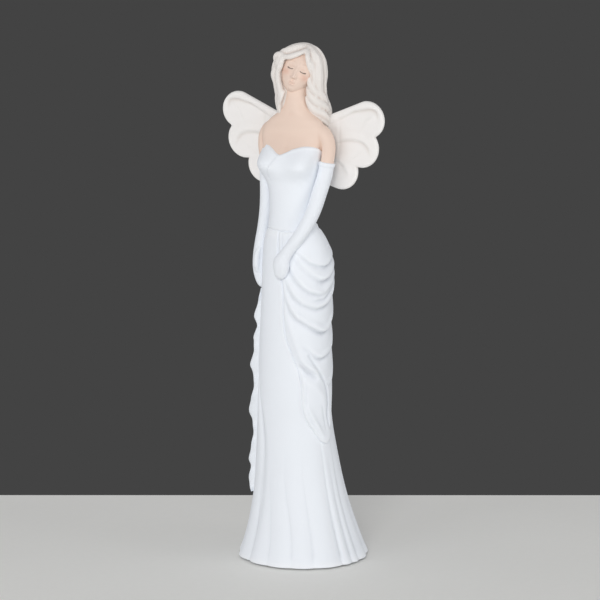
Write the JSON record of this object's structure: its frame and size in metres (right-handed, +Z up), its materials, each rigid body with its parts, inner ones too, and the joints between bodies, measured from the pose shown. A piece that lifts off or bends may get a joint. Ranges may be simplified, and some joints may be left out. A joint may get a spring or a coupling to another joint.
{
  "type": "angel figurine",
  "caption": "Slender standing angel figurine in a long fluted gown with a draped overskirt, lobed wings and long gloves, on a flat felted base.",
  "frame": {"origin": "centre of the felt pad's resting face", "axes": "+Z up, the figure faces -Y, her left side is +X"},
  "size_m": [0.1042, 0.0777, 0.2999],
  "materials": {
    "gown": "painted cast resin, cool white, satin-matte, with a faint grey wash in the folds",
    "glove": "painted cast resin, white, satin-matte",
    "skin": "painted cast resin, pale peach, matte, with a soft blush",
    "hair": "painted cast resin, ash grey-beige, matte, with a warm brown wash in the strands",
    "wing": "painted cast resin, cream white, matte, with a faint wash in the hollows",
    "felt": "pale grey wool felt",
    "wood": "bare beech, sanded",
    "steel": "drawn steel wire"
  },
  "bodies": {
    "root": {"felt_pad": "felt", "base_plate": "wood", "gown_skirt": "gown", "overskirt_drape": "gown", "side_frill": "gown", "waist_dowel": "wood", "bodice": "gown", "shoulders": "skin", "left_upper_arm": "skin", "right_upper_arm": "skin", "arm_pins": "steel", "left_glove": "glove", "right_glove": "glove", "neck_pin": "steel", "head": "skin", "hair": "hair", "left_wing": "wing", "right_wing": "wing", "wing_pins": "steel"}
  },
  "joints": []
}
